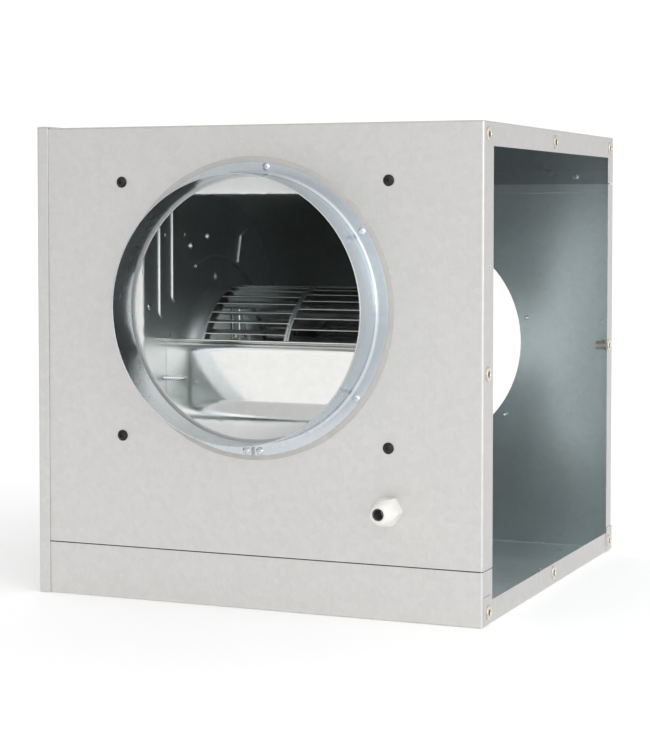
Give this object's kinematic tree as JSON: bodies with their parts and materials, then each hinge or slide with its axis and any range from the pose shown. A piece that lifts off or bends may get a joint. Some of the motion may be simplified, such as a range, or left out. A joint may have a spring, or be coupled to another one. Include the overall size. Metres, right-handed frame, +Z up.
{
  "type": "inline duct fan",
  "caption": "Boxed centrifugal fan: a cube casing of folded galvanised sheet with round duct spigots front and back, a direct-driven double-inlet blower inside and one side open for service.",
  "frame": {"origin": "middle of the casing's width and depth, on the face that it stands on", "axes": "-Y is the outlet's way out, +Y the inlet's, +X the open service side, +Z up"},
  "size_m": [0.4579, 0.5304, 0.4514],
  "materials": {
    "galvanised_outer": "satin zinc with faint spangle",
    "galvanised_blower": "bright zinc sheet",
    "zinc_plated": "bright zinc plate",
    "nickel_plated": "dull nickel",
    "electrical_steel": "stacked laminations",
    "black_steel": "black oxide",
    "black_paint": "semi-gloss black",
    "copper": "varnished wire",
    "bronze": "oiled sintered bronze",
    "foam": "matt closed-cell foam",
    "black_rubber": "matt",
    "white_plastic": "satin nylon",
    "grey_plastic": "satin"
  },
  "bodies": {
    "casing": {"front_shell": "galvanised_outer", "rear_shell": "galvanised_outer", "left_cover": "galvanised_outer", "left_cover_screws": "black_steel", "rivet_nuts_right": "nickel_plated", "rivet_nuts_left": "nickel_plated", "casing_rivets": "zinc_plated", "front_spigot": "zinc_plated", "front_spigot_seal": "foam", "front_spigot_screws": "zinc_plated", "rear_spigot": "zinc_plated", "rear_spigot_seal": "foam", "rear_spigot_screws": "zinc_plated", "outlet_gasket": "foam", "outlet_frame": "galvanised_blower", "outlet_frame_rivets": "zinc_plated", "blower_bolts": "black_steel", "blower_nuts": "zinc_plated", "side_plate_left": "galvanised_blower", "side_plate_right": "galvanised_blower", "scroll_sheet": "galvanised_blower", "cutoff_plate": "galvanised_blower", "cutoff_screws": "zinc_plated", "motor_can": "black_paint", "motor_end_bell": "black_paint", "front_bush": "bronze", "rear_bush": "bronze", "stator_core": "electrical_steel", "stator_windings": "copper", "motor_through_bolts": "zinc_plated", "motor_band": "zinc_plated", "band_screw": "zinc_plated", "motor_arms": "zinc_plated", "arm_grommets": "black_rubber", "arm_bolts": "zinc_plated", "arm_nuts": "zinc_plated", "capacitor": "grey_plastic", "capacitor_clip": "zinc_plated", "terminal_box": "grey_plastic", "terminal_box_lid": "grey_plastic", "terminal_box_screws": "zinc_plated", "gland_body": "white_plastic", "gland_locknut": "white_plastic", "gland_seal": "black_rubber"},
    "impeller": {"blade_strip_left": "galvanised_blower", "blade_strip_right": "galvanised_blower", "end_ring_left": "galvanised_blower", "end_ring_right": "galvanised_blower", "centre_disc": "galvanised_blower", "wheel_hub": "nickel_plated", "hub_rivets": "zinc_plated", "hub_set_screw": "black_steel", "motor_shaft": "zinc_plated", "motor_rotor": "electrical_steel"},
    "dome_nut": {"gland_dome_nut": "white_plastic"}
  },
  "joints": [
    {"name": "impeller_spin", "type": "hinge", "parent": "casing", "child": "impeller", "pos_m": [0, -0.065, 0.203], "axis": [1, 0, 0], "continuous": true},
    {"name": "dome_nut_turn", "type": "hinge", "parent": "casing", "child": "dome_nut", "pos_m": [0.136, -0.24, 0.1], "axis": [0, -1, 0], "range_deg": [0, 720]}
  ]
}
